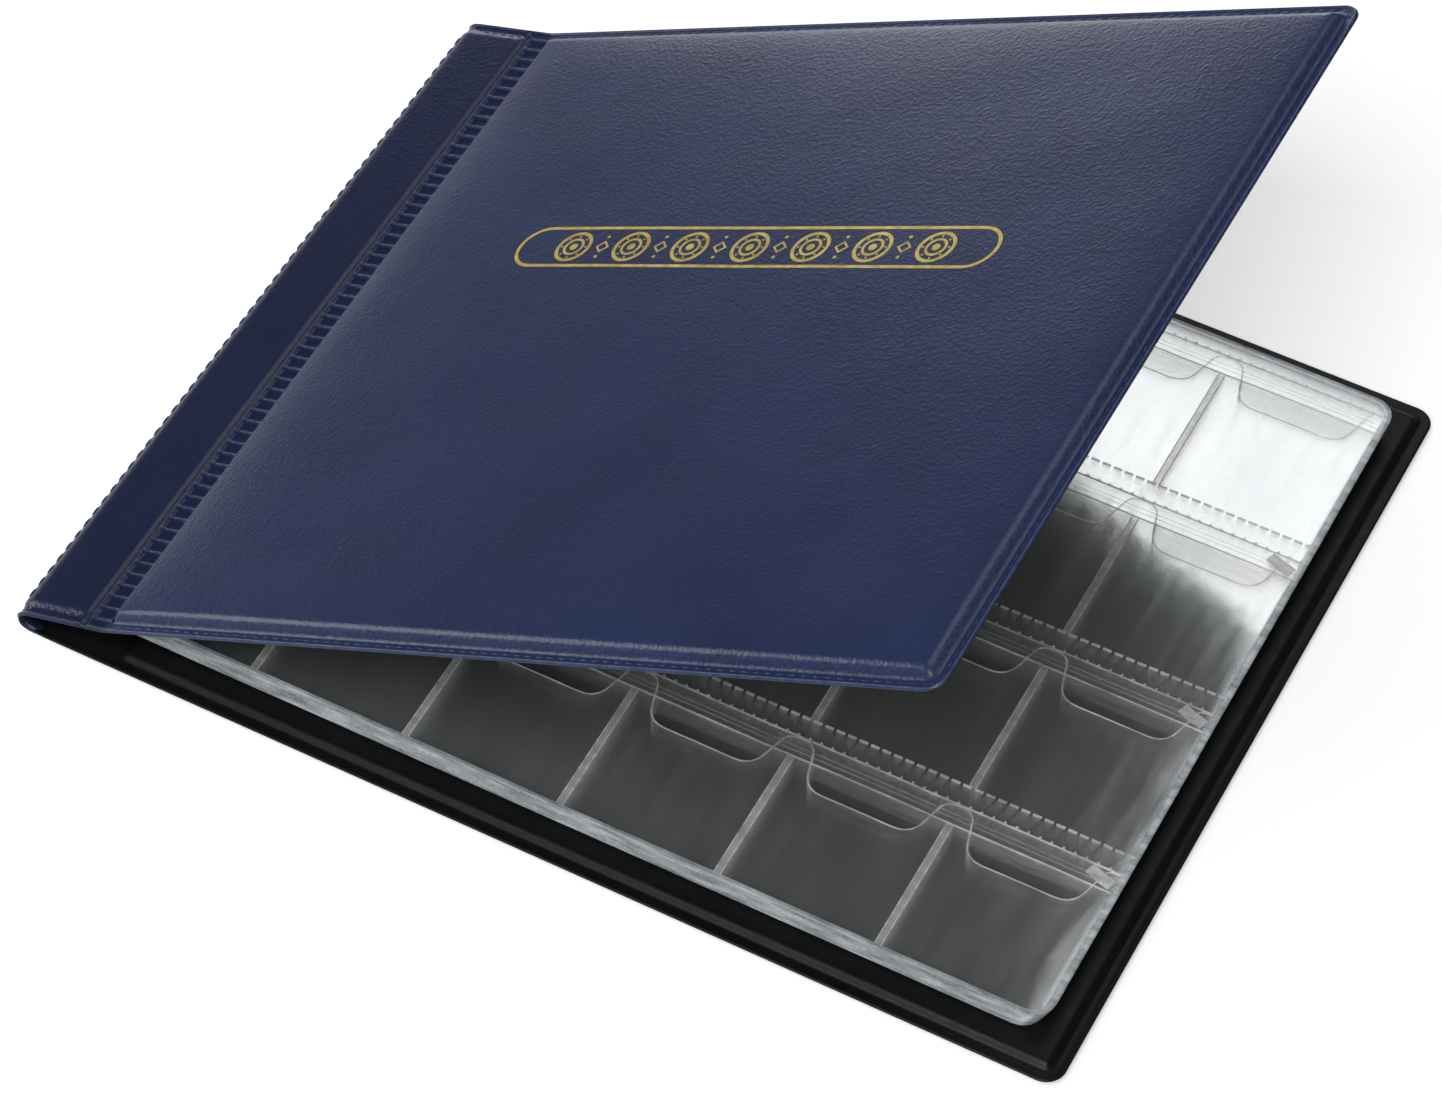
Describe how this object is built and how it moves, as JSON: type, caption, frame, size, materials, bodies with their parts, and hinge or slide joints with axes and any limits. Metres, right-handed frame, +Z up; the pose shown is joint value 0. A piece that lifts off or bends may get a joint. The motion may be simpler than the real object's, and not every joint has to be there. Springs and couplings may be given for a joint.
{
  "type": "coin album",
  "caption": "Landscape coin album with padded leatherette covers on a welded spine hinge, and clear leaves of coin pockets with thumb notches.",
  "frame": {"origin": "centre of the album's bounding box, on the plane the back cover rests on", "axes": "+X from the spine fold to the free edge, +Y along the spine away from the reader's near edge, +Z up from the back cover towards the front cover"},
  "size_m": [0.268, 0.2128, 0.1281],
  "materials": {
    "navy_pvc": "satin grained PVC leatherette",
    "black_lining": "smooth satin PVC",
    "card": "raw grey board",
    "foam": "soft foam",
    "clear_pvc": "clear gloss film",
    "gold_foil": "hot-stamped foil"
  },
  "bodies": {
    "back_cover": {"back_cover_skin": "navy_pvc", "back_cover_foam": "foam", "back_cover_board": "card", "back_cover_lining": "black_lining", "spine_fold_skin": "navy_pvc", "spine_fold_lining": "black_lining", "binding_lower": "clear_pvc"},
    "spine_panel": {"spine_skin": "navy_pvc", "spine_stiffener": "card", "spine_lining": "black_lining", "binding_upper": "clear_pvc"},
    "front_cover": {"front_cover_skin": "navy_pvc", "front_cover_foam": "foam", "front_cover_board": "card", "front_cover_lining": "black_lining", "front_foil": "gold_foil"},
    "leaf_01": {"leaf_01_back_sheet": "clear_pvc", "leaf_01_pocket_sheet": "clear_pvc"},
    "leaf_02": {"leaf_02_back_sheet": "clear_pvc", "leaf_02_pocket_sheet": "clear_pvc"},
    "leaf_03": {"leaf_03_back_sheet": "clear_pvc", "leaf_03_pocket_sheet": "clear_pvc"},
    "leaf_04": {"leaf_04_back_sheet": "clear_pvc", "leaf_04_pocket_sheet": "clear_pvc"},
    "leaf_05": {"leaf_05_back_sheet": "clear_pvc", "leaf_05_pocket_sheet": "clear_pvc"},
    "leaf_06": {"leaf_06_back_sheet": "clear_pvc", "leaf_06_pocket_sheet": "clear_pvc"},
    "leaf_07": {"leaf_07_back_sheet": "clear_pvc", "leaf_07_pocket_sheet": "clear_pvc"},
    "leaf_08": {"leaf_08_back_sheet": "clear_pvc", "leaf_08_pocket_sheet": "clear_pvc"},
    "leaf_09": {"leaf_09_back_sheet": "clear_pvc", "leaf_09_pocket_sheet": "clear_pvc"},
    "leaf_10": {"leaf_10_back_sheet": "clear_pvc", "leaf_10_pocket_sheet": "clear_pvc"}
  },
  "joints": [
    {"name": "spine_hinge", "type": "hinge", "parent": "back_cover", "child": "spine_panel", "pos_m": [-0.1316, 0, 0.0041], "axis": [0, -1, 0], "range_deg": [0, 144]},
    {"name": "front_hinge", "type": "hinge", "parent": "spine_panel", "child": "front_cover", "pos_m": [-0.1091, 0, 0.01509], "axis": [0, -1, 0], "range_deg": [-28.7, 8]},
    {"name": "leaf_01_turn", "type": "hinge", "parent": "back_cover", "child": "leaf_01", "pos_m": [-0.115, 0, 0.0045], "axis": [0, -1, 0], "range_deg": [0, 2.35]},
    {"name": "leaf_02_turn", "type": "hinge", "parent": "back_cover", "child": "leaf_02", "pos_m": [-0.115, 0, 0.00516], "axis": [0, -1, 0], "range_deg": [0, 4.66]},
    {"name": "leaf_03_turn", "type": "hinge", "parent": "back_cover", "child": "leaf_03", "pos_m": [-0.115, 0, 0.00582], "axis": [0, -1, 0], "range_deg": [0, 6.96]},
    {"name": "leaf_04_turn", "type": "hinge", "parent": "back_cover", "child": "leaf_04", "pos_m": [-0.115, 0, 0.00648], "axis": [0, -1, 0], "range_deg": [0, 9.27]},
    {"name": "leaf_05_turn", "type": "hinge", "parent": "back_cover", "child": "leaf_05", "pos_m": [-0.115, 0, 0.00714], "axis": [0, -1, 0], "range_deg": [0, 11.57]},
    {"name": "leaf_06_turn", "type": "hinge", "parent": "spine_panel", "child": "leaf_06", "pos_m": [-0.115, 0, 0.0078], "axis": [0, -1, 0], "range_deg": [-20.21, 0]},
    {"name": "leaf_07_turn", "type": "hinge", "parent": "spine_panel", "child": "leaf_07", "pos_m": [-0.115, 0, 0.00846], "axis": [0, -1, 0], "range_deg": [-15.89, 0]},
    {"name": "leaf_08_turn", "type": "hinge", "parent": "spine_panel", "child": "leaf_08", "pos_m": [-0.115, 0, 0.00912], "axis": [0, -1, 0], "range_deg": [-11.57, 0]},
    {"name": "leaf_09_turn", "type": "hinge", "parent": "spine_panel", "child": "leaf_09", "pos_m": [-0.115, 0, 0.00978], "axis": [0, -1, 0], "range_deg": [-7.25, 0]},
    {"name": "leaf_10_turn", "type": "hinge", "parent": "spine_panel", "child": "leaf_10", "pos_m": [-0.115, 0, 0.01044], "axis": [0, -1, 0], "range_deg": [-2.93, 0]}
  ],
  "couplings": [
    {"joint": "leaf_01_turn", "follows": "spine_hinge", "ratio": 0.016},
    {"joint": "leaf_02_turn", "follows": "spine_hinge", "ratio": 0.032},
    {"joint": "leaf_03_turn", "follows": "spine_hinge", "ratio": 0.048},
    {"joint": "leaf_04_turn", "follows": "spine_hinge", "ratio": 0.064},
    {"joint": "leaf_05_turn", "follows": "spine_hinge", "ratio": 0.08},
    {"joint": "leaf_06_turn", "follows": "spine_hinge", "ratio": -0.14},
    {"joint": "leaf_07_turn", "follows": "spine_hinge", "ratio": -0.11},
    {"joint": "leaf_08_turn", "follows": "spine_hinge", "ratio": -0.08},
    {"joint": "leaf_09_turn", "follows": "spine_hinge", "ratio": -0.05},
    {"joint": "leaf_10_turn", "follows": "spine_hinge", "ratio": -0.02}
  ]
}
